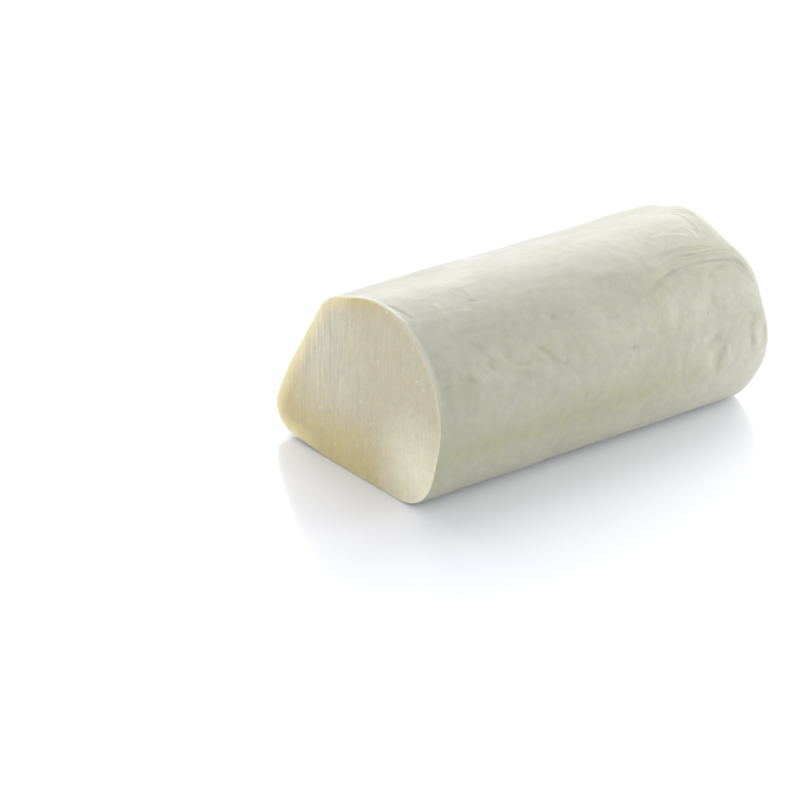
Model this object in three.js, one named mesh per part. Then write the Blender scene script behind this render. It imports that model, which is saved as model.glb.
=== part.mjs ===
// Mozzarella log: a pale, fresh cheese log that has settled on its belly, with one end cut square by a knife
// and the other end closed, where the stretched curd was folded in and pressed flat.
//
// Millimetres, +Z up. X runs along the log, from the cut face (-X) to the closed end (+X), and +Y is the side
// of the foot that sagged out. The origin is under the middle of the log, on the surface that it lies on.

import * as THREE from "three";
import { LoftGeometry } from "three/addons/geometries/LoftGeometry.js";
import { SimplexNoise } from "three/addons/math/SimplexNoise.js";

// Driving sizes

const LOG_LENGTH = 162;
const CUT_X = -LOG_LENGTH / 2;
const CLOSED_X = LOG_LENGTH / 2;

// The cross-section is the line that wraps these rolls, listed anticlockwise as seen from the closed end.
const SECTION_ROLLS = [
  { part: "inner edge of the foot", y: 17, z: 14, radius: 14 },
  { part: "foot that sagged out", y: 40.5, z: 11, radius: 9 },
  { part: "swell above the foot", y: 31.1, z: 22.8, radius: 12 },
  { part: "shoulder above the foot", y: 7.5, z: 50, radius: 17 },
  { part: "crown and flank", y: -13, z: 36.25, radius: 36.25 },
  { part: "belly edge under the flank", y: -25, z: 20.5, radius: 20.5 },
];

// The log slumps a little more towards its closed end.
const CLOSED_WIDTH_SCALE = 1.03;
const CLOSED_HEIGHT_SCALE = 0.97;

// The closed end rounds over towards its middle, and over a longer stretch above the foot.
const END_MIDDLE = { y: -6, z: 32 };
const END_BLUNTNESS = 2.6;
const END_ROUNDING = 13.5;
const END_ROUNDING_SWING = 4;
const END_ROUNDING_LONGEST_AT = THREE.MathUtils.degToRad(52);

// Flats pressed into the closed end by its tight wrapping: the way each one faces and how far out it lies.
const PRESSED_FLATS = [
  { facing: [0.755, -0.21, 0.621], reach: 97.5 },
  { facing: [0.833, -0.51, 0.215], reach: 92.6 },
  { facing: [0.519, -0.694, -0.499], reach: 61.4 },
];
const FLAT_EDGE_SOFTNESS = 1;

const CUT_EDGE_RADIUS = 0.9;

// Folds of the stretched curd. Seen from outside and followed from the first point to the last, the layer on
// the left laps over the one on the right, which dips where it goes under.
const FOLDS = [
  {
    part: "long fold over the shoulder of the closed end",
    through: [
      [21, -41, 59], [28, -38, 61.5], [38.5, -36.5, 62.5], [50, -36.5, 62], [60, -38.5, 61], [65, -42, 57.5],
      [68, -46, 53],
    ],
    lap: 0.5,
    dip: 0.5,
    width: 2,
  },
  {
    part: "second layer above the long fold",
    through: [[31, -32.5, 66], [41, -32.5, 66], [51, -34, 65], [61, -36.5, 63]],
    lap: 0.3,
    dip: 0.25,
    width: 2.2,
  },
  {
    part: "crease across the crown",
    through: [[52, -3, 70.5], [60, -8, 70.5], [64, -13, 70], [61, -20, 69.5], [56, -27, 68]],
    lap: 0.4,
    dip: 0.4,
    width: 2.2,
  },
  {
    part: "dent in the flank",
    through: [[44, -50, 41], [47, -51, 36], [48, -50, 28], [47, -49, 24]],
    lap: 0.25,
    dip: 0.7,
    width: 3.2,
  },
  {
    part: "first tuck beside the closed end",
    through: [[62, -48, 43], [63, -51, 38], [64, -51, 31], [63, -49, 24]],
    lap: 0.4,
    dip: 0.5,
    width: 2.2,
  },
  {
    part: "second tuck beside the closed end",
    through: [[69, -49, 40], [70, -50, 34], [72, -48, 26], [71, -45, 20]],
    lap: 0.4,
    dip: 0.5,
    width: 2.2,
  },
  {
    part: "low ridge down the flank",
    through: [[31, -50, 40], [32, -50, 31], [34, -48, 20]],
    lap: 0.5,
    dip: 0.3,
    width: 2.6,
  },
  {
    part: "pinch across the closed end",
    through: [[76, -36, 40], [80, -22, 37], [81, -9, 33], [80, 6, 28], [77, 20, 22]],
    lap: 0.8,
    dip: 1.3,
    width: 2.6,
  },
  {
    part: "layer folded in above the pinch",
    through: [[78, -24, 52], [80, -12, 49], [80, 0, 43], [77, 12, 36]],
    lap: 0.6,
    dip: 0.8,
    width: 2.4,
  },
  {
    part: "layer folded in below the pinch",
    through: [[77, 10, 14], [80, -4, 17], [80, -18, 21], [76, -30, 26]],
    lap: 0.6,
    dip: 0.8,
    width: 2.4,
  },
  {
    part: "fold down the hidden side",
    through: [[40, 16, 57], [52, 24, 46], [60, 33, 34], [64, 41, 21]],
    lap: 0.8,
    dip: 0.8,
    width: 2.6,
  },
];
const LAP_REACH = 3.2;
const LAP_EDGE_SOFTNESS = 0.5;
const FOLD_SAMPLES = 48;
const FOLD_FADE = 0.18;

// Broad, soft swells all over the skin.
const SWELL_HEIGHT = 0.4;
const SWELL_LENGTH = 46;
const SWELL_SEED = 7;

// The relief dies out towards the cut face and towards the belly, which lies flat.
const CUT_FACE_MARGIN = 7;
const BELLY_MARGIN = { from: 1.5, to: 8 };
const BELLY_FLATNESS = 0.05;

const POINTS_AROUND = 92;
const EDGE_RINGS = 3;
const PLAIN_RINGS = 14;
const FOLDED_RINGS = 24;
const FOLDED_FROM = 0.64;
const END_RINGS = 16;
const END_LAST_TURN = THREE.MathUtils.degToRad(88.5);

// Cross-section

// The direction, from both rolls' centres, of the points where a band touches one roll and then the next.
function touchAngle(roll, next) {
  const dy = next.y - roll.y;
  const dz = next.z - roll.z;
  const lean = Math.acos((roll.radius - next.radius) / Math.hypot(dy, dz));
  return Math.atan2(dz, dy) - lean;
}

function sectionOutline(rolls) {
  const outline = new THREE.Path();
  rolls.forEach((roll, i) => {
    const before = rolls.at(i - 1);
    const after = rolls[(i + 1) % rolls.length];
    const start = touchAngle(before, roll);
    const turn = THREE.MathUtils.euclideanModulo(touchAngle(roll, after) - start, 2 * Math.PI);
    outline.absarc(roll.y, roll.z, roll.radius, start, start + turn);
  });
  return outline.closePath();
}

// Points of the section, whose x and y stand for the log's Y and Z.
const SECTION = sectionOutline(SECTION_ROLLS).getSpacedPoints(POINTS_AROUND).slice(0, -1);

// Rings along the log

function endRounding(point) {
  const around = Math.atan2(point.y - END_MIDDLE.z, point.x - END_MIDDLE.y);
  return END_ROUNDING + END_ROUNDING_SWING * Math.cos(around - END_ROUNDING_LONGEST_AT);
}

// A ring of the body, at a share of the way from the cut face to where the closed end starts to round over.
function bodyRing(share) {
  const widthScale = THREE.MathUtils.lerp(1, CLOSED_WIDTH_SCALE, share);
  const heightScale = THREE.MathUtils.lerp(1, CLOSED_HEIGHT_SCALE, share);
  return SECTION.map((point) => {
    const x = THREE.MathUtils.lerp(CUT_X, CLOSED_X - endRounding(point), share);
    return new THREE.Vector3(x, point.x * widthScale, point.y * heightScale);
  });
}

// The knife leaves a small rounded edge where the skin meets the cut face.
function edgeRing(turn) {
  const inset = CUT_EDGE_RADIUS * (1 - Math.sin(turn));
  const back = CUT_EDGE_RADIUS * (1 - Math.cos(turn));
  const middle = new THREE.Vector2(END_MIDDLE.y, END_MIDDLE.z);
  return SECTION.map((point) => {
    const out = point.clone().sub(middle);
    out.setLength(out.length() - inset).add(middle);
    return new THREE.Vector3(CUT_X + back, out.x, out.y);
  });
}

function endRing(turn) {
  const along = Math.sin(turn) ** (2 / END_BLUNTNESS);
  const spread = Math.cos(turn) ** (2 / END_BLUNTNESS);
  return bodyRing(1).map(({ x, y, z }) => new THREE.Vector3(
    THREE.MathUtils.lerp(x, CLOSED_X, along),
    THREE.MathUtils.lerp(END_MIDDLE.y, y, spread),
    THREE.MathUtils.lerp(END_MIDDLE.z, z, spread),
  ));
}

// Evenly stepped numbers after one value, up to and with another.
function stepsBetween(from, to, count) {
  return Array.from({ length: count }, (_, i) => THREE.MathUtils.lerp(from, to, (i + 1) / count));
}

function smoothRings() {
  return [
    edgeRing(0),
    ...stepsBetween(0, Math.PI / 2, EDGE_RINGS).map(edgeRing),
    ...stepsBetween(0, FOLDED_FROM, PLAIN_RINGS).map(bodyRing),
    ...stepsBetween(FOLDED_FROM, 1, FOLDED_RINGS).map(bodyRing),
    ...stepsBetween(0, END_LAST_TURN, END_RINGS).map(endRing),
  ];
}

// Moves a point that lies beyond a flat back onto it, with a soft edge round the flat.
function pressFlats(point) {
  for (const { facing, reach } of PRESSED_FLATS) {
    const normal = new THREE.Vector3(...facing).normalize();
    const beyond = (point.dot(normal) - reach) / FLAT_EDGE_SOFTNESS;
    const push = FLAT_EDGE_SOFTNESS * Math.log1p(Math.exp(beyond));
    point.addScaledVector(normal, -push);
  }
  return point;
}

// Relief

function foldLine(fold) {
  const curve = new THREE.CatmullRomCurve3(fold.through.map((p) => new THREE.Vector3(...p)));
  const shares = stepsBetween(-1 / FOLD_SAMPLES, 1, FOLD_SAMPLES + 1);
  return shares.map((share) => ({ share, at: curve.getPointAt(share), ahead: curve.getTangentAt(share) }));
}

const foldLines = FOLDS.map(foldLine);

// How far a fold lifts the skin at a point: a lap that ends in a step on the left, and a dip on the right.
function foldLift(fold, line, point, normal) {
  const near = line.reduce((best, sample) => (
    point.distanceToSquared(sample.at) < point.distanceToSquared(best.at) ? sample : best
  ));
  const offset = point.clone().sub(near.at);
  const leftward = offset.dot(new THREE.Vector3().crossVectors(normal, near.ahead).normalize());
  const away = offset.length();
  const onLeft = Math.max(0, leftward / (away + LAP_EDGE_SOFTNESS));
  const lap = fold.lap * Math.exp(-away / (LAP_REACH * fold.width)) * onLeft;
  const intoDip = (leftward + fold.width / 2) ** 2 + away ** 2 - leftward ** 2;
  const dip = fold.dip * Math.exp(-intoDip / fold.width ** 2);
  const fade = Math.min(THREE.MathUtils.smoothstep(near.share, 0, FOLD_FADE),
    THREE.MathUtils.smoothstep(1 - near.share, 0, FOLD_FADE));
  return fade * (lap - dip);
}

THREE.MathUtils.seededRandom(SWELL_SEED);
const swellNoise = new SimplexNoise({ random: () => THREE.MathUtils.seededRandom() });

function swellLift(point) {
  const { x, y, z } = point.clone().divideScalar(SWELL_LENGTH);
  return SWELL_HEIGHT * swellNoise.noise3d(x, y, z);
}

function reliefAt(point, normal) {
  const folds = FOLDS.reduce((sum, fold, i) => sum + foldLift(fold, foldLines[i], point, normal), 0);
  const clearOfCut = THREE.MathUtils.smoothstep(point.x - CUT_X, CUT_EDGE_RADIUS, CUT_FACE_MARGIN);
  const clearOfBelly = THREE.MathUtils.smoothstep(point.z, BELLY_MARGIN.from, BELLY_MARGIN.to);
  return clearOfCut * clearOfBelly * (folds + swellLift(point));
}

function withRelief(rings) {
  const normals = new LoftGeometry(rings).getAttribute("normal");
  return rings.map((ring, row) => ring.map((point, column) => {
    const normal = new THREE.Vector3().fromBufferAttribute(normals, row * (ring.length + 1) + column);
    return point.clone().addScaledVector(normal, reliefAt(point, normal));
  }));
}

// The log

// The belly lies flat on the surface, and the origin goes under the middle of the log.
function settled(geometry) {
  const position = geometry.getAttribute("position");
  for (let i = 0; i < position.count; i += 1) {
    if (position.getZ(i) < BELLY_FLATNESS) position.setZ(i, 0);
  }
  geometry.computeBoundingBox();
  const { min, max } = geometry.boundingBox;
  return geometry.translate(-(min.x + max.x) / 2, -(min.y + max.y) / 2, 0);
}

// A ring whose points all lie at the middle of another ring, so that the skin closes there.
function closingRing(ring) {
  const middle = new THREE.Vector3();
  ring.forEach((point) => middle.addScaledVector(point, 1 / ring.length));
  return ring.map(() => middle);
}

const rings = withRelief(smoothRings().map((ring) => ring.map(pressFlats)));
const skin = new LoftGeometry([...rings, closingRing(rings.at(-1))], { capStart: true });

const freshCheese = new THREE.MeshStandardMaterial({ color: 0xeae6d2, roughness: 0.38, metalness: 0 });

const mozzarellaLog = new THREE.Mesh(settled(skin), freshCheese);
mozzarellaLog.name = "mozzarella_log";

const mozzarella = new THREE.Group();
mozzarella.add(mozzarellaLog);

export default mozzarella;
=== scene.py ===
import math

import bpy
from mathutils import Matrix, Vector, kdtree, noise
from mathutils.geometry import interpolate_bezier


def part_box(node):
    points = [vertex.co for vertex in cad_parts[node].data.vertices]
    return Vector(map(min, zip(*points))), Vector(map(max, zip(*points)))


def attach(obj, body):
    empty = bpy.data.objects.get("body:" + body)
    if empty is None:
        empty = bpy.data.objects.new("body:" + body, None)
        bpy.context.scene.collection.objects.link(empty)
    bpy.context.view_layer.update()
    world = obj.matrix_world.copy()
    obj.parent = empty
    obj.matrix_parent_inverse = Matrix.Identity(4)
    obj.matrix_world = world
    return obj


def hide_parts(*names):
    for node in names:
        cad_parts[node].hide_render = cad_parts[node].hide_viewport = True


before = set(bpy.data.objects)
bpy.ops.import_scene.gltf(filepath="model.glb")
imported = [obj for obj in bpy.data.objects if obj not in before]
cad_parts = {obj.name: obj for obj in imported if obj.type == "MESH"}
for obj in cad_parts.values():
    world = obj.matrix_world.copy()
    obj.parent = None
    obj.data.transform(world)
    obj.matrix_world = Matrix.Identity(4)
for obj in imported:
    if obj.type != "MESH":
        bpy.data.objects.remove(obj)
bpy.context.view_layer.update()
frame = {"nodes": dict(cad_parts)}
print("frame loaded:", ", ".join(frame["nodes"]))


def mm(*lengths):
    scaled = [length * 0.001 for length in lengths]
    return scaled[0] if len(scaled) == 1 else Vector(scaled)


def inMm(length):
    return length * 1000


# An sRGB hex colour as linear values.
def fromHex(colour):
    channels = [int(colour[i:i + 2], 16) / 255 for i in (1, 3, 5)]
    return [c / 12.92 if c < 0.04045 else ((c + 0.055) / 1.055) ** 2.4 for c in channels] + [1]


def activate(piece):
    bpy.ops.object.select_all(action="DESELECT")
    piece.select_set(True)
    bpy.context.view_layer.objects.active = piece


def addNode(tree, kind, inputs, **settings):
    node = tree.nodes.new("ShaderNode" + kind)
    for name, value in settings.items():
        setattr(node, name, value)
    for name, value in inputs.items():
        if isinstance(value, bpy.types.NodeSocket):
            tree.links.new(value, node.inputs[name])
        else:
            node.inputs[name].default_value = value
    return node


def smoothstep(value, start, end):
    share = min(max((value - start) / (end - start), 0), 1)
    return share * share * (3 - 2 * share)


# The log: a copy of its solid, with the cut face rebuilt as a grid and the skin made finer where it shows.
# All lengths are in mm. The cut face is at the low end of X, and the belly lies on z = 0.
log = {
    "cutX": inMm(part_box("mozzarella_log")[0].x),
    "mergeGap": 0.01,
    "quadAngle": 60,           # triangles that meet within this many degrees become one face
    "cutFaceRows": 15,
    "flatDepth": 0.01,         # the solid's cut face lies this close to cutX
    "cutDepth": 0.1,           # and the finer one this close
    "tip": (80.2, -5.7, 32),   # middle of the closed end, where its points crowd together
    "tipReach": 4,
    "tipSpacing": 0.7,
    "bellyHeight": 2,          # the belly, below this height, stays coarse
    "rimDepth": 1,             # and so does the rim, this close to the cut
    "backFrom": 12,            # y where the back starts
    "largestFace": 2,          # area in mm2 up to which a face of the back is fine enough
    "creaseMargin": 2.4,       # the skin is finest this close to a crease
    "smoothing": 3,
    "smoothingShare": 0.5,
    "leastWeight": 0.002,      # vertices that a relief moves less than this share stay out of it
}


def copyNode(name):
    piece = frame["nodes"][name].copy()
    piece.data = piece.data.copy()
    bpy.context.scene.collection.objects.link(piece)
    activate(piece)
    angle = math.radians(log["quadAngle"])
    bpy.ops.object.mode_set(mode="EDIT")
    bpy.ops.mesh.select_all(action="SELECT")
    bpy.ops.mesh.remove_doubles(threshold=mm(log["mergeGap"]))
    bpy.ops.mesh.tris_convert_to_quads(face_threshold=angle, shape_threshold=angle)
    bpy.ops.object.mode_set(mode="OBJECT")
    return piece


# Leaves the piece in edit mode with only the wanted faces selected. A place is in mm.
def selectFaces(piece, isWanted):
    activate(piece)
    bpy.ops.object.mode_set(mode="EDIT")
    bpy.ops.mesh.select_mode(type="FACE")
    bpy.ops.mesh.select_all(action="DESELECT")
    bpy.ops.object.mode_set(mode="OBJECT")
    for face in piece.data.polygons:
        face.select = isWanted(inMm(face.center), face)
    bpy.ops.object.mode_set(mode="EDIT")


def gridCap(piece, isCap, rows):
    selectFaces(piece, isCap)
    bpy.ops.mesh.delete(type="FACE")
    bpy.ops.mesh.select_mode(type="EDGE")
    bpy.ops.mesh.select_all(action="DESELECT")
    bpy.ops.mesh.select_non_manifold()
    bpy.ops.mesh.fill_grid(span=rows)
    bpy.ops.object.mode_set(mode="OBJECT")


def mergePoints(piece, isCrowded, spacing):
    selectFaces(piece, isCrowded)
    bpy.ops.mesh.remove_doubles(threshold=mm(spacing))
    bpy.ops.object.mode_set(mode="OBJECT")


def refine(piece, isWanted):
    selectFaces(piece, isWanted)
    bpy.ops.mesh.subdivide(number_cuts=1, smoothness=0)
    bpy.ops.object.mode_set(mode="OBJECT")


def addApplied(piece, kind, **settings):
    activate(piece)
    modifier = piece.modifiers.new(kind.lower(), kind)
    for name, value in settings.items():
        setattr(modifier, name, value)
    bpy.ops.object.modifier_apply(modifier=modifier.name)


def isSolidCut(place, face):
    return place.x < log["cutX"] + log["flatDepth"]


def isCut(place, face):
    return place.x < log["cutX"] + log["cutDepth"]


def isAtTip(place, face):
    return (place - Vector(log["tip"])).length < log["tipReach"]


def isCoarseSkin(place, face):
    isFineBack = place.y > log["backFrom"] and face.area < mm(mm(log["largestFace"]))
    isSkin = place.z > log["bellyHeight"] and place.x > log["cutX"] + log["rimDepth"]
    return isSkin and not isFineBack


def isByCrease(place, face):
    return creaseTree.find(place)[2] < log["creaseMargin"]


# Creases that the stretching and folding left in the skin: depth, width, height of the lip on the left, and
# points on the log, all in mm. Where the depth is below zero, the line stands up.
creases = {
    "step": 0.4,
    "reach": 3.5,              # in widths
    "fade": 0.2,               # share of the length over which each end runs out
    "lipFrom": 1.7,            # in widths
    "lipWidth": 1.2,
    "strandSpacing": 1.5,      # fine strands that run beside a lip
    "strandShare": 0.35,
    "strandReach": 3.2,
    "strandFade": 1.6,
    "evenShare": 0.75,         # share of the depth that is there all along
    "unevenShare": 0.6,        # and the share that comes and goes
    "unevenness": 9,           # over this length
    "markDepth": 0.25,         # a crease this deep gets the strongest painted shade, a ridge this high the strongest painted highlight
    "seen": {
        "longTail": (0.3, 1.7, 0, (
            (20.1, -41.2, 58.8), (22.3, -40.2, 59.9), (25.7, -39.0, 60.9), (29.5, -37.9, 61.7),
            (33.6, -37.1, 62.1), (37.1, -36.9, 62.3),
        )),
        "longFold": (0.27, 0.75, 0.14, (
            (28.5, -38.0, 61.6), (33.6, -37.1, 62.1), (38.2, -36.7, 62.5), (44.0, -36.7, 62.6),
            (50.0, -37.1, 62.4), (55.4, -37.6, 61.7), (59.9, -38.6, 61.3), (63.0, -39.5, 60.2),
            (65.4, -42.0, 57.6), (66.8, -44.4, 54.7),
        )),
        "secondLayer": (0.08, 0.5, 0.05, (
            (30.1, -36.7, 62.9), (35.6, -35.8, 63.5), (41.6, -35.6, 63.8), (47.7, -35.8, 63.7),
            (54.4, -36.4, 63.0), (60.6, -37.7, 62.2), (64.8, -39.2, 60.8), (67.7, -41.0, 58.5),
        )),
        "upperRidge": (-0.1, 0.7, 0, (
            (31.0, -33.3, 65.4), (37.3, -32.6, 65.5), (43.9, -32.8, 65.6), (49.5, -34.2, 65.0),
            (55.5, -35.2, 64.2), (61.4, -36.9, 62.9), (64.0, -38.5, 61.4),
        )),
        "upperGroove": (0.08, 0.5, 0.03, (
            (35.4, -33.2, 65.2), (41.6, -33.3, 65.3), (46.6, -34.2, 64.9), (53.2, -35.6, 63.8),
        )),
        "topGroove": (0.07, 0.8, 0.03, (
            (31.4, -31.1, 66.6), (37.9, -30.8, 66.7), (44.9, -31.1, 66.6), (50.6, -32.4, 66.2),
            (56.8, -33.7, 65.2),
        )),
        "innerArc": (0.1, 0.7, 0.05, (
            (48.0, -42.2, 57.7), (49.8, -41.0, 59.2), (52.8, -40.1, 60.1), (56.2, -40.1, 60.0),
            (59.1, -40.7, 59.1), (60.5, -41.9, 57.9),
        )),
        "rightArc": (0.12, 0.9, 0.07, (
            (60.4, -40.4, 59.2), (62.7, -41.8, 57.7), (64.7, -43.4, 55.9), (66.2, -45.1, 53.7),
            (67.3, -46.3, 51.6),
        )),
        "wrinkleA": (-0.08, 0.7, 0, (
            (23.8, -34.4, 64.9), (21.7, -36.4, 63.4), (20.7, -38.8, 61.4),
        )),
        "wrinkleB": (-0.08, 0.7, 0, (
            (15.7, -35.0, 64.5), (14.7, -37.4, 62.6), (14.0, -38.8, 61.2),
        )),
        "flankRidge": (-0.08, 0.9, 0, (
            (16.1, -43.7, 55.3), (14.4, -44.7, 53.7), (12.7, -45.9, 51.5), (10.5, -47.0, 49.3),
            (8.5, -47.8, 47.4), (7.1, -48.5, 45.3),
        )),
        "flankGroove": (0.1, 1, 0, (
            (7.7, -47.8, 47.2), (6.4, -48.6, 45.1), (6.3, -49.0, 43.3), (7.6, -49.3, 42.2),
        )),
        "longRidge": (-0.18, 0.9, 0, (
            (34.5, -50.4, 38.4), (32.5, -50.6, 35.4), (31.5, -50.2, 32.0), (31.7, -49.5, 27.6),
            (33.5, -47.9, 21.3),
        )),
        "hollowA": (0.2, 1.9, 0, (
            (33.6, -50.6, 31.5), (35.3, -49.9, 27.6), (36.1, -48.7, 23.3),
        )),
        "hollowB": (0.07, 1.4, 0, (
            (35.6, -50.5, 30.9), (37.1, -49.6, 26.1),
        )),
        "dentUpper": (0.42, 1.9, 0.08, (
            (39.8, -50.5, 34.9), (42.1, -50.1, 36.0), (44.3, -49.7, 37.0), (46.6, -49.8, 37.8),
            (48.3, -50.0, 38.5),
        )),
        "dentLower": (0.36, 1.9, 0.08, (
            (49.1, -50.3, 34.7), (48.8, -50.1, 32.3), (48.3, -49.7, 29.9), (47.7, -49.1, 27.4),
            (47.6, -48.8, 25.0), (49.9, -48.1, 22.0),
        )),
        "dentRidge": (-0.22, 1, 0, (
            (50.9, -50.4, 34.3), (51.4, -50.3, 31.3), (52.7, -49.8, 27.9), (54.5, -48.8, 24.2),
        )),
        "prick": (0.1, 0.8, 0, (
            (55.1, -49.8, 28.1), (56.8, -49.0, 24.9),
        )),
        "tuckA": (0.2, 1.3, 0.08, (
            (62.4, -50.1, 39.8), (61.9, -50.3, 36.8), (62.9, -50.3, 32.9), (64.6, -50.2, 29.2),
        )),
        "tuckRidge": (-0.14, 1.3, 0, (
            (64.9, -50.6, 39.8), (64.6, -50.9, 35.9), (65.6, -50.7, 31.5), (67.0, -49.9, 27.2),
        )),
        "tuckB": (0.18, 1.3, 0.05, (
            (68.3, -50.6, 38.0), (69.1, -50.4, 33.3), (69.0, -50.0, 29.1), (68.0, -49.6, 26.4),
        )),
        "across": (0.09, 0.7, 0.03, (
            (48.4, -47.9, 47.5), (52.0, -48.2, 46.8), (55.7, -48.5, 46.3), (60.1, -48.8, 46.0),
        )),
        "hookA": (0.08, 0.9, 0.03, (
            (60.2, -47.7, 48.8), (61.9, -47.3, 49.8), (64.4, -47.9, 48.6), (66.2, -48.8, 46.4),
        )),
        "hookB": (0.08, 0.9, 0.03, (
            (61.3, -49.5, 43.6), (63.8, -50.1, 41.9), (67.1, -50.2, 41.8),
        )),
        "shortGroove": (0.07, 0.7, 0, (
            (44.5, -46.7, 50.3), (43.0, -47.4, 48.5), (42.6, -48.1, 46.5),
        )),
        "shortRidge": (-0.07, 0.7, 0, (
            (48.7, -45.4, 53.1), (49.0, -46.4, 50.9), (49.2, -47.1, 49.5),
        )),
        "swirlOuter": (0.12, 0.8, 0.04, (
            (59.1, -4.1, 69.4), (62.0, -7.5, 70.0), (63.8, -11.1, 70.1), (63.5, -15.9, 69.9),
            (62.0, -21.5, 69.4),
        )),
        "swirlGroove": (0.18, 0.8, 0.08, (
            (57.8, -7.8, 69.7), (58.8, -10.6, 70.0), (59.2, -14.3, 70.1), (58.4, -19.3, 69.6),
            (56.6, -24.8, 68.7), (54.5, -28.6, 67.7),
        )),
        "swirlRidge": (-0.1, 0.7, 0, (
            (50.9, -18.0, 70.2), (52.8, -20.2, 69.9), (54.5, -22.8, 69.3), (54.7, -26.2, 68.4),
            (52.4, -29.1, 67.6),
        )),
        "swirlTail": (-0.15, 0.9, 0, (
            (36.4, -22.4, 69.5), (41.5, -22.0, 69.6), (46.3, -23.3, 69.4), (50.1, -25.6, 68.8),
            (51.9, -26.9, 68.4),
        )),
        "swirlHollow": (0.1, 1.1, 0, (
            (45.0, -21.9, 69.7), (47.8, -22.1, 69.6), (50.9, -22.4, 69.5),
        )),
        "swirlLine": (0.08, 0.8, 0, (
            (33.6, -21.1, 69.7), (37.5, -22.2, 69.5), (41.8, -22.9, 69.4), (45.8, -22.7, 69.5),
        )),
        "shoulderA": (0.07, 1.4, 0, (
            (-0.9, -25.6, 69.4), (3.0, -26.0, 69.3), (7.3, -26.4, 69.1), (11.8, -27.3, 68.8),
            (16.8, -28.6, 68.1),
        )),
        "shoulderB": (0.16, 1.2, 0, (
            (-69.0, -36.3, 64.3), (-64.9, -36.7, 63.9), (-60.6, -36.8, 63.7), (-55.4, -37.1, 63.4),
            (-50.2, -37.3, 63.2), (-42.3, -37.6, 62.9),
        )),
        "flankLineA": (0.24, 1, 0, (
            (-48.6, -43.8, 55.1), (-47.9, -44.7, 53.5), (-46.7, -45.4, 52.0), (-43.6, -46.1, 50.5),
            (-40.5, -46.3, 50.0), (-38.2, -46.2, 50.3),
        )),
        "flankLineB": (0.16, 1, 0, (
            (-36.1, -43.7, 55.1), (-33.2, -45.1, 52.8), (-30.8, -46.0, 50.9), (-28.7, -47.1, 48.4),
            (-24.4, -48.2, 45.8),
        )),
        "flankRidgeB": (-0.14, 0.8, 0, (
            (-22.1, -49.0, 43.0), (-20.4, -49.7, 39.2), (-19.0, -50.0, 36.3),
        )),
        "nearA": (0.18, 0.8, 0.03, (
            (-67.7, -22.3, 71.1), (-66.2, -23.6, 70.7), (-65.0, -25.5, 70.1),
        )),
        "nearRidgeA": (-0.2, 0.8, 0, (
            (-64.1, -22.6, 71.0), (-63.0, -26.3, 69.8),
        )),
        "nearB": (0.24, 0.9, 0, (
            (-51.7, -25.5, 70.0), (-48.2, -27.4, 69.2),
        )),
        "nearRidgeB": (-0.1, 0.8, 0, (
            (-56.6, -29.5, 68.4), (-52.3, -29.8, 68.2),
        )),
        "nearC": (0.1, 0.9, 0, (
            (-52.6, -16.8, 71.8), (-50.8, -18.7, 71.6), (-48.7, -20.6, 71.3),
        )),
        "nearD": (0.1, 0.9, 0, (
            (-62.4, -17.9, 71.9), (-60.2, -19.3, 71.6), (-57.5, -20.4, 71.4),
        )),
        "nearRidgeC": (-0.08, 0.9, 0, (
            (-51.5, -11.6, 71.9), (-48.2, -13.1, 71.9), (-45.3, -15.1, 71.8),
        )),
        "rimGroove": (0.4, 0.6, 0, (
            (-79.7, -15.3, 72.4), (-78.8, -18.2, 72.0), (-77.8, -21.4, 71.4), (-77.0, -24.4, 70.5),
            (-76.2, -27.3, 69.4),
        )),
        "rimLip": (-0.26, 0.5, 0, (
            (-81.0, -16.4, 72.0), (-80.6, -20.0, 71.7), (-80.3, -24.1, 70.7), (-79.6, -27.2, 69.5),
            (-79.3, -29.6, 68.4),
        )),
        "pitA": (0.24, 2.3, 0, (
            (-57.2, -45.7, 52.0), (-55.9, -45.1, 53.0), (-53.7, -44.1, 54.7),
        )),
        "pitB": (0.3, 2, 0, (
            (-76.5, -46.0, 51.4), (-76.6, -46.7, 49.8),
        )),
        "pitC": (0.1, 1.8, 0, (
            (-33.6, -44.4, 54.0), (-33.0, -45.3, 52.3),
        )),
        "pitD": (0.3, 1.8, 0, (
            (-24.8, -47.7, 47.1), (-23.5, -48.4, 45.1),
        )),
        "pitE": (0.1, 1.8, 0, (
            (-44.1, -45.0, 52.9), (-42.5, -45.9, 51.0),
        )),
        "pitF": (0.28, 1.3, 0, (
            (-61.5, -39.2, 61.6), (-59.0, -40.5, 60.0), (-56.5, -41.9, 58.1),
        )),
        "pitG": (0.17, 1.8, 0, (
            (-76.9, -48.2, 45.1), (-75.6, -48.9, 42.3),
        )),
        "flankLineC": (0.2, 1, 0, (
            (-68.1, -46.0, 51.7), (-66.0, -46.6, 50.2), (-62.9, -47.3, 48.6),
        )),
        "flankLineD": (0.13, 1, 0, (
            (-41.5, -47.3, 47.4), (-40.9, -48.0, 45.2), (-39.9, -48.5, 43.1),
        )),
        "shoulderDentA": (0.22, 1.5, 0, (
            (-24.5, -38.9, 61.4), (-23.6, -40.1, 60.0),
        )),
        "shoulderDentB": (0.2, 1.4, 0, (
            (-16.1, -39.4, 60.8), (-15.5, -40.6, 59.5),
        )),
        "farPit": (0.25, 1.3, 0, (
            (7.3, -48.6, 44.8), (7.5, -49.1, 43.0),
        )),
    },
    "hidden": {
        "pinch": (0.22, 1, 0.12, (
            (76, -36, 40), (80, -22, 37), (81, -9, 33), (80, 6, 28), (77, 20, 22),
        )),
        "abovePinch": (0.16, 0.8, 0.1, (
            (78, -24, 52), (80, -12, 49), (80, 0, 43), (77, 12, 36),
        )),
        "besideAbovePinch": (0.1, 0.7, 0.04, (
            (77.5, -20, 55), (79.5, -10, 52.5), (79.5, 2, 46.5), (76.5, 15, 39),
        )),
        "belowPinch": (0.16, 0.8, 0.1, (
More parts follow.
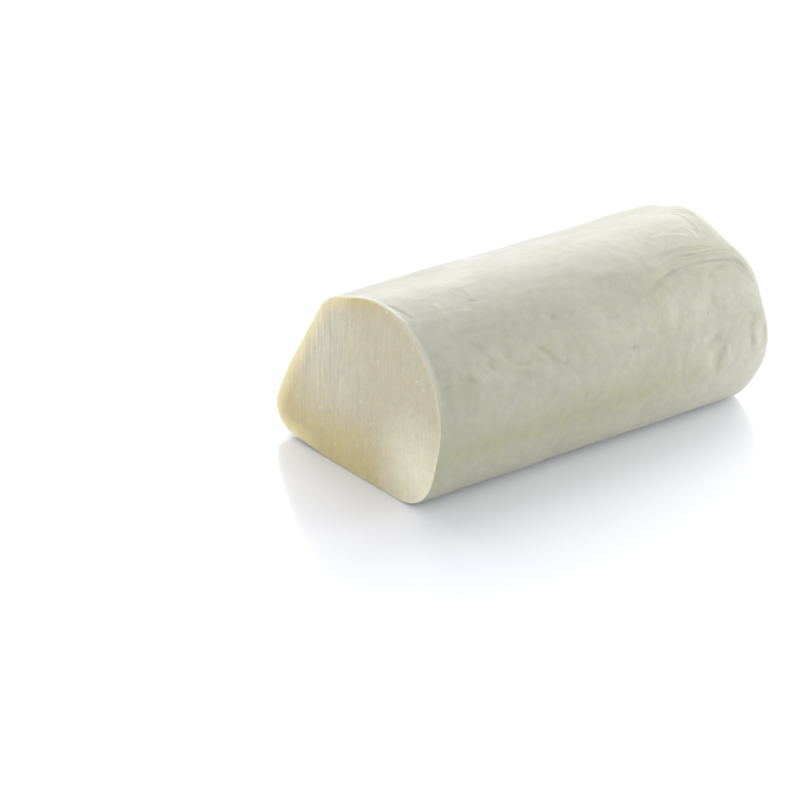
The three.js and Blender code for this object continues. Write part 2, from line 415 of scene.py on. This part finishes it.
            (77, 10, 14), (80, -4, 17), (80, -18, 21), (76, -30, 26),
        )),
        "besideBelowPinch": (0.1, 0.7, 0.04, (
            (78, 2, 11), (80, -10, 13), (79.5, -22, 17), (76, -33, 22),
        )),
        "hiddenFold": (0.22, 1.1, 0.12, (
            (40, 16, 57), (52, 24, 46), (60, 33, 34), (64, 41, 21),
        )),
        "besideHiddenFold": (0.1, 0.9, 0.04, (
            (36, 18, 55), (48, 26, 44), (56, 35, 32), (59, 43, 20),
        )),
        "hiddenSwirl": (0.14, 1, 0.06, (
            (60, 6, 67), (66, 14, 60), (66, 22, 51), (60, 26, 45),
        )),
        "hiddenStreakA": (0.08, 1.6, 0, (
            (-60, 18, 55), (-35, 19, 54), (-12, 18, 55),
        )),
        "hiddenStreakB": (0.08, 1.6, 0, (
            (-20, 30, 38), (5, 31, 37), (28, 29, 40),
        )),
    },
}


def pathThrough(points):
    knots = [Vector(point) for point in points]
    path = []
    for i in range(len(knots) - 1):
        start, end = knots[i], knots[i + 1]
        handleIn = start + (end - knots[max(i - 1, 0)]) / 6
        handleOut = end - (knots[min(i + 2, len(knots) - 1)] - start) / 6
        count = max(3, int((end - start).length / creases["step"]) + 1)
        path += interpolate_bezier(start, handleIn, handleOut, end, count)[:-1]
    return path + knots[-1:]


def treeOf(places):
    tree = kdtree.KDTree(len(places))
    for index, place in enumerate(places):
        tree.insert(place, index)
    tree.balance()
    return tree


lines = [
    (depth, width, lip, pathThrough(points))
    for group in ("seen", "hidden")
    for depth, width, lip, points in creases[group].values()
]
creaseTree = treeOf([place for line in lines for place in line[-1]])

cheeseLog = copyNode("mozzarella_log")
cheeseLog.name = "cheeseLog"
gridCap(cheeseLog, isSolidCut, log["cutFaceRows"])
mergePoints(cheeseLog, isAtTip, log["tipSpacing"])
addApplied(cheeseLog, "SUBSURF", levels=1, render_levels=1)
for isWanted in (isCoarseSkin, isByCrease, isCut):
    refine(cheeseLog, isWanted)
addApplied(cheeseLog, "SMOOTH", factor=log["smoothingShare"], iterations=log["smoothing"])
print("log:", len(cheeseLog.data.vertices), "vertices")


# How far each vertex is moved by the creases, in mm: out where it is above zero, in where it is below.
def creaseLifts(piece):
    vertices = piece.data.vertices
    tree = treeOf([inMm(vertex.co) for vertex in vertices])
    lifts = [0.0] * len(vertices)
    strandReach = creases["strandReach"]
    for depth, width, lip, path in lines:
        last = len(path) - 1
        reach = max(width * creases["reach"], 2 * strandReach if lip else 0)
        nearest = {}
        for row, place in enumerate(path):
            for found, index, distance in tree.find_range(place, reach):
                if index not in nearest or distance < nearest[index][0]:
                    nearest[index] = (distance, row)
        for index, (distance, row) in nearest.items():
            ahead = path[min(row + 1, last)] - path[max(row - 1, 0)]
            offset = inMm(vertices[index].co) - path[row]
            across = offset.dot(vertices[index].normal.cross(ahead).normalized()) / width
            fade = smoothstep(min(row, last - row) / last, 0, creases["fade"])
            unevenness = noise.noise(path[row] / creases["unevenness"])
            fade *= creases["evenShare"] + creases["unevenShare"] * unevenness
            edge = math.exp(-((across - creases["lipFrom"]) / creases["lipWidth"]) ** 2)
            away = (across * width - strandReach) / strandReach
            wave = math.cos(math.tau * across * width / creases["strandSpacing"])
            strand = wave * math.exp(-(creases["strandFade"] * away) ** 2)
            raised = lip * (edge + creases["strandShare"] * strand)
            lifts[index] += fade * (raised - depth * math.exp(-across ** 2))
    return lifts


def weigh(piece, name, weights):
    group = piece.vertex_groups.new(name=name)
    for index, weight in enumerate(weights):
        if weight > log["leastWeight"]:
            group.add([index], min(weight, 1), "REPLACE")
    return group.name


def press(piece, name, lifts):
    most = max(abs(lift) for lift in lifts)
    for side in (1, -1):
        group = weigh(piece, name, [side * lift / most for lift in lifts])
        addApplied(piece, "DISPLACE", vertex_group=group, mid_level=0, strength=side * mm(most))


# Gives each vertex a number that the materials read.
def addMark(piece, name, values):
    mark = piece.data.attributes.new(name, "FLOAT", "POINT")
    mark.data.foreach_set("value", values)


lifts = creaseLifts(cheeseLog)
press(cheeseLog, "crease", lifts)
# the marks carry painted shade into the creases and painted highlight onto the ridges
addMark(cheeseLog, "foldMarks", [min(max(-lift / creases["markDepth"], -1), 1) for lift in lifts])
print("creases:", len(lines))

# Relief all over. Each ripple has the part of the log it is on, its size along X, Y and Z, and its height.
relief = {
    "ripples": (
        ("upper", (16, 2.4, 2.4), 0.17),       # strands drawn out along the log
        ("upper", (5, 1.6, 1.6), 0.055),       # shorter and finer ones between them
        ("flank", (9, 9, 9), 0.85),            # soft dimples
        ("flank", (3.2, 3.2, 3.2), 0.24),      # knots in the curd
        ("cut", (10, 2.2, 45), 0.25),          # drag of the knife
        ("cut", (4, 2.6, 2.6), 0.16),          # small tears
    ),
    "upwardSlope": (0.35, 0.9),      # z of the normal, from flank to upper side
    "flankShareOnTop": 0.4,
    "besideCut": (0.8, 5),           # distances from the cut face over which the skin's relief sets in
    "aboveTable": (0.5, 5),
    "tightX": (-20, 40),             # towards the closed end the skin is drawn tighter
    "tightening": 0.4,
    "rim": (0.3, 1.3),               # distances from the cut face between which the rim lies
}


def ripple(piece, group, size, height):
    cloud = bpy.data.textures.new(group, "CLOUDS")
    cloud.noise_scale = 1
    space = bpy.data.objects.new("rippleSpace", None)
    bpy.context.scene.collection.objects.link(space)
    space.scale = mm(*size)
    bpy.context.view_layer.update()
    addApplied(piece, "DISPLACE", texture=cloud, texture_coords="OBJECT", texture_coords_object=space,
        vertex_group=group, mid_level=0.5, strength=mm(height))
    bpy.data.objects.remove(space)


places = [inMm(vertex.co) for vertex in cheeseLog.data.vertices]
fromCut = [place.x - log["cutX"] for place in places]
facingUp = [smoothstep(vertex.normal.z, *relief["upwardSlope"]) for vertex in cheeseLog.data.vertices]
skin = [
    smoothstep(depth, *relief["besideCut"]) * smoothstep(place.z, *relief["aboveTable"])
    for place, depth in zip(places, fromCut)
]
slack = [1 - relief["tightening"] * smoothstep(place.x, *relief["tightX"]) for place in places]
onTop = 1 - relief["flankShareOnTop"]
parts = {
    "upper": [share * up for share, up in zip(skin, facingUp)],
    "flank": [share * (1 - onTop * up) * loose for share, up, loose in zip(skin, facingUp, slack)],
    "cut": [1 - smoothstep(depth, 0, log["cutDepth"]) for depth in fromCut],
}
groups = {name: weigh(cheeseLog, name, weights) for name, weights in parts.items()}
for name, size, height in relief["ripples"]:
    ripple(cheeseLog, groups[name], size, height)
activate(cheeseLog)
bpy.ops.object.shade_smooth()

# How far each vertex is from the rim of the cut, in mm, for the pale line of the sliced skin and its painted
# highlight.
rimFrom, rimTo = relief["rim"]
rimTree = treeOf([place for place, depth in zip(places, fromCut) if rimFrom < depth < rimTo])
addMark(cheeseLog, "fromRim", [rimTree.find(place)[2] for place in places])
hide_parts("mozzarella_log")
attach(cheeseLog, "root")
print("relief done:", sum(len(face.vertices) - 2 for face in cheeseLog.data.polygons), "triangles")

# Fresh mozzarella skin: stretched curd full of whey, drawn smooth. Light goes a few millimetres into it, and
# its wet film gives a broad satin shine that the strands break up. A pair is where a tint starts and where
# it is full.
skinCurd = {
    "patterns": (("cloud", 3), ("mottle", 2), ("grain", 2)),     # with the detail of each
    "colour": "#b8b8a6",
    "milkier": "#bcbcab",
    "cloudSize": 14,
    "cloudRange": (0.35, 0.65),
    "paintedEndLight": "#c0c0b0",             # painted light: the skin is lighter towards the closed end, where more light falls
    "paintedEndLightX": (20, 70),
    "yellowAndShade": "#b4b398",           # a band along the lower flank: partly yellower curd, partly painted shade where less light reaches
    "yellowAndShadeZ": (38, 25),
    "openX": (60, 10),               # away from the closed end
    "footZ": (17, 24),
    "footShare": 0.25,               # how much of the band is left right above the table
    "upward": "#bcbcaf",             # painted light: lighter and cooler where the skin faces up, towards the light
    "upwardSlope": (0.5, 0.95),
    "mottleSize": 3.5,
    "mottleTint": 0.11,
    "besideCut": "#cfcfc3",          # the skin that the knife lifted along the rim of the cut, painted lighter as the highlight it catches
    "litLipDepth": (2.4, 1),
    "litLipZ": (38, 58),
    # painted shade darkens the creases, which hold a little whey, and painted highlight lightens the ridges
    "grooveShadeColour": "#abac96",
    "ridgeHighlightColour": "#d2d2c4",
    "markRange": 2.2,                # the strongest mark is 1, so it tints by under half
    "roughness": (0.3, 0.46),        # between the clouds, and in them
    "ior": 1.38,
    "scatterDepth": 2.5,
    "scatterShares": (1.0, 0.8, 0.5),   # how far red, green and blue light go, of that
    "grainSize": 0.9,
    "grainHeight": 0.05,
}

# Cut curd: the same cheese sliced by a knife, denser and creamier than the skin, with fine drag lines that
# run the way of the knife. A reach is the distance where a tint is gone, and the one where it is full.
cutCurd = {
    "faceDepth": 0.25,               # faces this close to the cut face show cut curd
    "patterns": (("grain", 2), ("lump", 2)),                     # with the detail of each
    "colour": "#d1caaf",
    "slicedSkinAndGlint": "#d9d4bd",             # the skin, seen end on, paler, with a painted highlight where the rim catches light
    "slicedSkinAndGlintReach": (1.7, 0.4),
    "yellowAndShade": "#d4c696",           # a band that follows the rim of the foot and the belly: partly yellower curd, partly painted shade
    "bandZ": (55, 15),
    "bandWidth": (4, 21),
    "bandReach": (1.6, 0.3),         # in widths
    "bandY": (-30, -6),
    "milkier": "#dcd6c0",
    "milkierAt": (log["cutX"], 24, 46),
    "milkierReach": (34, 6),
    "pale": "#f4f0d7",
    "paleAt": (log["cutX"], -37, 13),
    "paleReach": (28, 2),
    "edge": "#fff4c6",               # the edge of the foot side, where light comes through
    "edgeReach": (6.5, 0),
    "edgeSlope": 0.6,
    "edgeHeight": (24, 40),          # on a line that leans by that slope
    "edgeY": (0, 22),
    "lineSpacing": 1.3,
    "lineLength": 16,
    "lineDetail": 2,
    "lineTint": 0.3,
    "lineHeight": 0.6,
    "linesAt": (log["cutX"], 20, 46),
    "linesReach": (30, 5),
    "faintest": 0.25,                # share of the lines left away from there
    "lumpSize": 4,
    "lumpTint": 0.08,
    "glintColour": "#ece6cf",        # painted glints of light on beads of whey
    "speckSpacing": 7,
    "speckSize": 0.9,
    "roughness": 0.42,
    "ior": 1.38,
    "scatterDepth": 1.6,
    "scatterShares": (1.0, 0.8, 0.45),
    "grainSize": 0.9,
    "grainTint": 0.09,
    "grainHeight": 0.16,
}


def newMaterial(name):
    material = bpy.data.materials.new(name)
    material.use_nodes = True
    material.node_tree.nodes.clear()
    return material, material.node_tree


def placeInMm(tree):
    place = addNode(tree, "TexCoord", {}).outputs["Object"]
    scaled = addNode(tree, "VectorMath", {0: place, "Scale": inMm(1)}, operation="SCALE")
    return scaled.outputs[0]


# The noise patterns that a curd names, each with its size in mm and its detail.
def addPatterns(tree, curd, place):
    patterns = {}
    for name, detail in curd["patterns"]:
        pattern = addNode(tree, "TexNoise", {
            "Vector": place,
            "Scale": 1 / curd[name + "Size"],
            "Detail": detail,
        })
        patterns[name] = pattern.outputs["Fac"]
    return patterns


# Lays tints over a colour, one after the other. Each is as strong as its ramps multiplied. A ramp is a value,
# where it starts and where it is full, and the share it has before its start, if any.
def layTints(tree, colour, *tints):
    for tint, *ramps in tints:
        strength = 1
        for value, (start, full), *share in ramps:
            ramp = addNode(tree, "MapRange", {
                "Value": value, "From Min": start, "From Max": full, "To Min": share[0] if share else 0,
            })
            product = addNode(tree, "Math", {0: strength, 1: ramp.outputs["Result"]}, operation="MULTIPLY")
            strength = product.outputs["Value"]
        mix = addNode(tree, "Mix", {0: strength, 6: colour, 7: fromHex(tint)}, data_type="RGBA")
        colour = mix.outputs[2]
    return colour


# Makes a colour lighter and darker by a pattern, up to the tint's share of it.
def mottle(tree, colour, pattern, tint, strength=1):
    uneven = addNode(tree, "MapRange", {"Value": pattern, "To Min": -tint, "To Max": tint})
    shade = addNode(tree, "Math", {0: uneven.outputs["Result"], 1: strength, 2: 1}, operation="MULTIPLY_ADD")
    scaled = addNode(tree, "VectorMath", {0: colour, "Scale": shade.outputs["Value"]}, operation="SCALE")
    return scaled.outputs[0]


def finishCurd(tree, curd, colour, roughness, normal):
    shader = addNode(tree, "BsdfPrincipled", {
        "Base Color": colour,
        "Roughness": roughness,
        "IOR": curd["ior"],
        "Subsurface Weight": 1.0,
        "Subsurface Radius": curd["scatterShares"],
        "Subsurface Scale": mm(curd["scatterDepth"]),
        "Normal": normal,
    })
    addNode(tree, "OutputMaterial", {"Surface": shader.outputs["BSDF"]})


def makeSkin():
    curd = skinCurd
    material, tree = newMaterial("freshMozzarellaSkin")
    place = placeInMm(tree)
    axes = addNode(tree, "SeparateXYZ", {"Vector": place}).outputs
    patterns = addPatterns(tree, curd, place)
    normal = addNode(tree, "NewGeometry", {}).outputs["Normal"]
    upward = addNode(tree, "SeparateXYZ", {"Vector": normal}).outputs["Z"]
    marks = addNode(tree, "Attribute", {}, attribute_name="foldMarks").outputs["Fac"]
    litLipX = [log["cutX"] + depth for depth in curd["litLipDepth"]]
    colour = layTints(tree, fromHex(curd["colour"]),
        (curd["milkier"], (patterns["cloud"], curd["cloudRange"])),
        # painted light: lighter towards the closed end
        (curd["paintedEndLight"], (axes["X"], curd["paintedEndLightX"])),
        # a band along the lower flank: partly yellower curd, partly painted shade
        (
            curd["yellowAndShade"],
            (axes["Z"], curd["yellowAndShadeZ"]),
            (axes["X"], curd["openX"]),
            (axes["Z"], curd["footZ"], curd["footShare"]),
        ),
        # painted light on the skin that faces up
        (curd["upward"], (upward, curd["upwardSlope"]), (axes["X"], curd["openX"])),
    )
    colour = mottle(tree, colour, patterns["mottle"], curd["mottleTint"])
    colour = layTints(tree, colour,
        # painted highlight on the lifted skin along the rim of the cut
        (curd["besideCut"], (axes["X"], litLipX), (axes["Z"], curd["litLipZ"])),
        # painted shade in the creases, with a little whey, and painted highlight on the ridges
        (curd["grooveShadeColour"], (marks, (0, curd["markRange"]))),
        (curd["ridgeHighlightColour"], (marks, (0, -curd["markRange"]))),
    )
    (cloudLow, cloudHigh), (glossy, dull) = curd["cloudRange"], curd["roughness"]
    wetness = addNode(tree, "MapRange", {
        "Value": patterns["cloud"],
        "From Min": cloudLow,
        "From Max": cloudHigh,
        "To Min": glossy,
        "To Max": dull,
    })
    bump = addNode(tree, "Bump", {"Height": patterns["grain"], "Distance": mm(curd["grainHeight"])})
    finishCurd(tree, curd, colour, wetness.outputs["Result"], bump.outputs["Normal"])
    return material


def makeCut():
    curd = cutCurd
    material, tree = newMaterial("cutMozzarellaCurd")
    place = placeInMm(tree)
    axes = addNode(tree, "SeparateXYZ", {"Vector": place}).outputs
    patterns = addPatterns(tree, curd, place)
    drawn = addNode(tree, "Mapping", {
        "Vector": place,
        "Scale": (1, 1 / curd["lineSpacing"], 1 / curd["lineLength"]),
    })
    dragged = addNode(tree, "TexNoise", {
        "Vector": drawn.outputs["Vector"],
        "Scale": 1,
        "Detail": curd["lineDetail"],
    })
    patterns["line"] = dragged.outputs["Fac"]
    fromRim = addNode(tree, "Attribute", {}, attribute_name="fromRim").outputs["Fac"]
    (bandTop, bandFoot), (narrowest, widest) = curd["bandZ"], curd["bandWidth"]
    bandWidth = addNode(tree, "MapRange", {
        "Value": axes["Z"],
        "From Min": bandTop,
        "From Max": bandFoot,
        "To Min": narrowest,
        "To Max": widest,
    })
    intoBand = addNode(tree, "Math", {0: fromRim, 1: bandWidth.outputs["Result"]}, operation="DIVIDE")
    leaning = addNode(tree, "Math", {
        0: axes["Z"],
        1: curd["edgeSlope"],
        2: axes["Y"],
    }, operation="MULTIPLY_ADD")
    away = {}
    for name in ("milkier", "pale", "lines"):
        distance = addNode(tree, "VectorMath", {0: place, 1: curd[name + "At"]}, operation="DISTANCE")
        away[name] = distance.outputs["Value"]
    colour = layTints(tree, fromHex(curd["colour"]),
        # the sliced skin along the rim, with a painted highlight
        (curd["slicedSkinAndGlint"], (fromRim, curd["slicedSkinAndGlintReach"])),
        # partly yellower curd, partly painted shade along the foot and the belly
        (curd["yellowAndShade"], (intoBand.outputs["Value"], curd["bandReach"]), (axes["Y"], curd["bandY"])),
        (curd["milkier"], (away["milkier"], curd["milkierReach"])),
        (curd["pale"], (away["pale"], curd["paleReach"])),
        (
            curd["edge"],
            (fromRim, curd["edgeReach"]),
            (leaning.outputs["Value"], curd["edgeHeight"]),
            (axes["Y"], curd["edgeY"]),
        ),
    )
    gone, full = curd["linesReach"]
    drag = addNode(tree, "MapRange", {
        "Value": away["lines"], "From Min": gone, "From Max": full, "To Min": curd["faintest"],
    }).outputs["Result"]
    for name, strength in (("line", drag), ("grain", 1), ("lump", 1)):
        colour = mottle(tree, colour, patterns[name], curd[name + "Tint"], strength)
    # painted glints of light on the wet cut face
    glints = addNode(tree, "TexVoronoi", {"Vector": place, "Scale": 1 / curd["speckSpacing"]})
    glintEdge = curd["speckSize"] / curd["speckSpacing"]
    colour = layTints(tree, colour, (curd["glintColour"], (glints.outputs["Distance"], (glintEdge, 0))))
    ridges = addNode(tree, "Bump", {
        "Height": patterns["line"],
        "Strength": drag,
        "Distance": mm(curd["lineHeight"]),
    })
    bump = addNode(tree, "Bump", {
        "Height": patterns["grain"],
        "Distance": mm(curd["grainHeight"]),
        "Normal": ridges.outputs["Normal"],
    })
    finishCurd(tree, curd, colour, curd["roughness"], bump.outputs["Normal"])
    return material


cheeseLog.data.materials.clear()
cheeseLog.data.materials.append(makeSkin())
cheeseLog.data.materials.append(makeCut())
for face in cheeseLog.data.polygons:
    face.material_index = int(inMm(face.center.x) < log["cutX"] + cutCurd["faceDepth"])
print("materials done")

# White sweep of a table top in a bright room, with one wide soft light from behind and one panel at the side.
studio = {
    "floorSize": 6.0,
    "floorColour": "#f7f8fe",
    "floorRoughness": 0.16,
    "floorIor": 1.45,
    "floorGlow": 0.05,               # the table top is lit from below a little
    "floorGlowColour": "#e2e9ff",
    "ceilingStrength": 0.45,
    "wallStrength": 1.15,
    "keyStrength": 2.05,
    "keyAngle": 72,
    "keyFromZenith": 48,
    "keyAzimuth": 52,
    "sidePower": 0.5,
    "sideSize": 0.2,
    "sideAt": (300, -250, 160),
    "cameraLens": 175,
    "cameraSensor": 36,
    "cameraDistance": 1.45833,
    "cameraAzimuth": -37.457,
    "cameraElevation": 25.206,
    "lookAt": (-29.67, 41.37, 0),
}


def makeFloor():
    bpy.ops.mesh.primitive_plane_add(size=studio["floorSize"])
    floor = bpy.context.object
    floor.name = "floor"
    material, tree = newMaterial("whiteTableTop")
    shader = addNode(tree, "BsdfPrincipled", {
        "Base Color": fromHex(studio["floorColour"]),
        "Roughness": studio["floorRoughness"],
        "IOR": studio["floorIor"],
        "Emission Color": fromHex(studio["floorGlowColour"]),
        "Emission Strength": studio["floorGlow"],
    })
    addNode(tree, "OutputMaterial", {"Surface": shader.outputs["BSDF"]})
    floor.data.materials.append(material)


def makeRoom():
    world = bpy.data.worlds.new("brightRoom")
    world.use_nodes = True
    tree = world.node_tree
    direction = addNode(tree, "TexCoord", {})
    height = addNode(tree, "SeparateXYZ", {"Vector": direction.outputs["Generated"]})
    strength = addNode(tree, "MapRange", {
        "Value": height.outputs["Z"],
        "To Min": studio["wallStrength"],
        "To Max": studio["ceilingStrength"],
    })
    background = tree.nodes["Background"]
    background.inputs["Color"].default_value = (1, 1, 1, 1)
    tree.links.new(strength.outputs["Result"], background.inputs["Strength"])
    bpy.context.scene.world = world


# Puts a light or camera at a distance along a direction, looking back down it.
def aim(name, data, back, distance):
    aimed = bpy.data.objects.new(name, data)
    aimed.location = back * distance
    aimed.rotation_mode = "QUATERNION"
    aimed.rotation_quaternion = back.to_track_quat("Z", "Y")
    bpy.context.scene.collection.objects.link(aimed)
    return aimed


def makeLights():
    key = bpy.data.lights.new("keyLight", "SUN")
    key.energy = studio["keyStrength"]
    key.angle = math.radians(studio["keyAngle"])
    zenith, azimuth = math.radians(studio["keyFromZenith"]), math.radians(studio["keyAzimuth"])
    flat = math.sin(zenith)
    towards = Vector((flat * math.cos(azimuth), flat * math.sin(azimuth), math.cos(zenith)))
    aim("keyLight", key, towards, 1)
    side = bpy.data.lights.new("sideLight", "AREA")
    side.energy = studio["sidePower"]
    side.size = studio["sideSize"]
    at = mm(*studio["sideAt"])
    aim("sideLight", side, at.normalized(), at.length)


def makeCamera():
    lens = bpy.data.cameras.new("camera")
    lens.lens = studio["cameraLens"]
    lens.sensor_width = studio["cameraSensor"]
    azimuth, elevation = math.radians(studio["cameraAzimuth"]), math.radians(studio["cameraElevation"])
    flat = math.cos(elevation)
    back = Vector((flat * math.sin(azimuth), -flat * math.cos(azimuth), math.sin(elevation)))
    camera = aim("camera", lens, back, studio["cameraDistance"])
    camera.location += mm(*studio["lookAt"])
    bpy.context.scene.camera = camera


makeFloor()
makeRoom()
makeLights()
makeCamera()
bpy.context.scene.view_settings.view_transform = "Standard"
print("studio done")
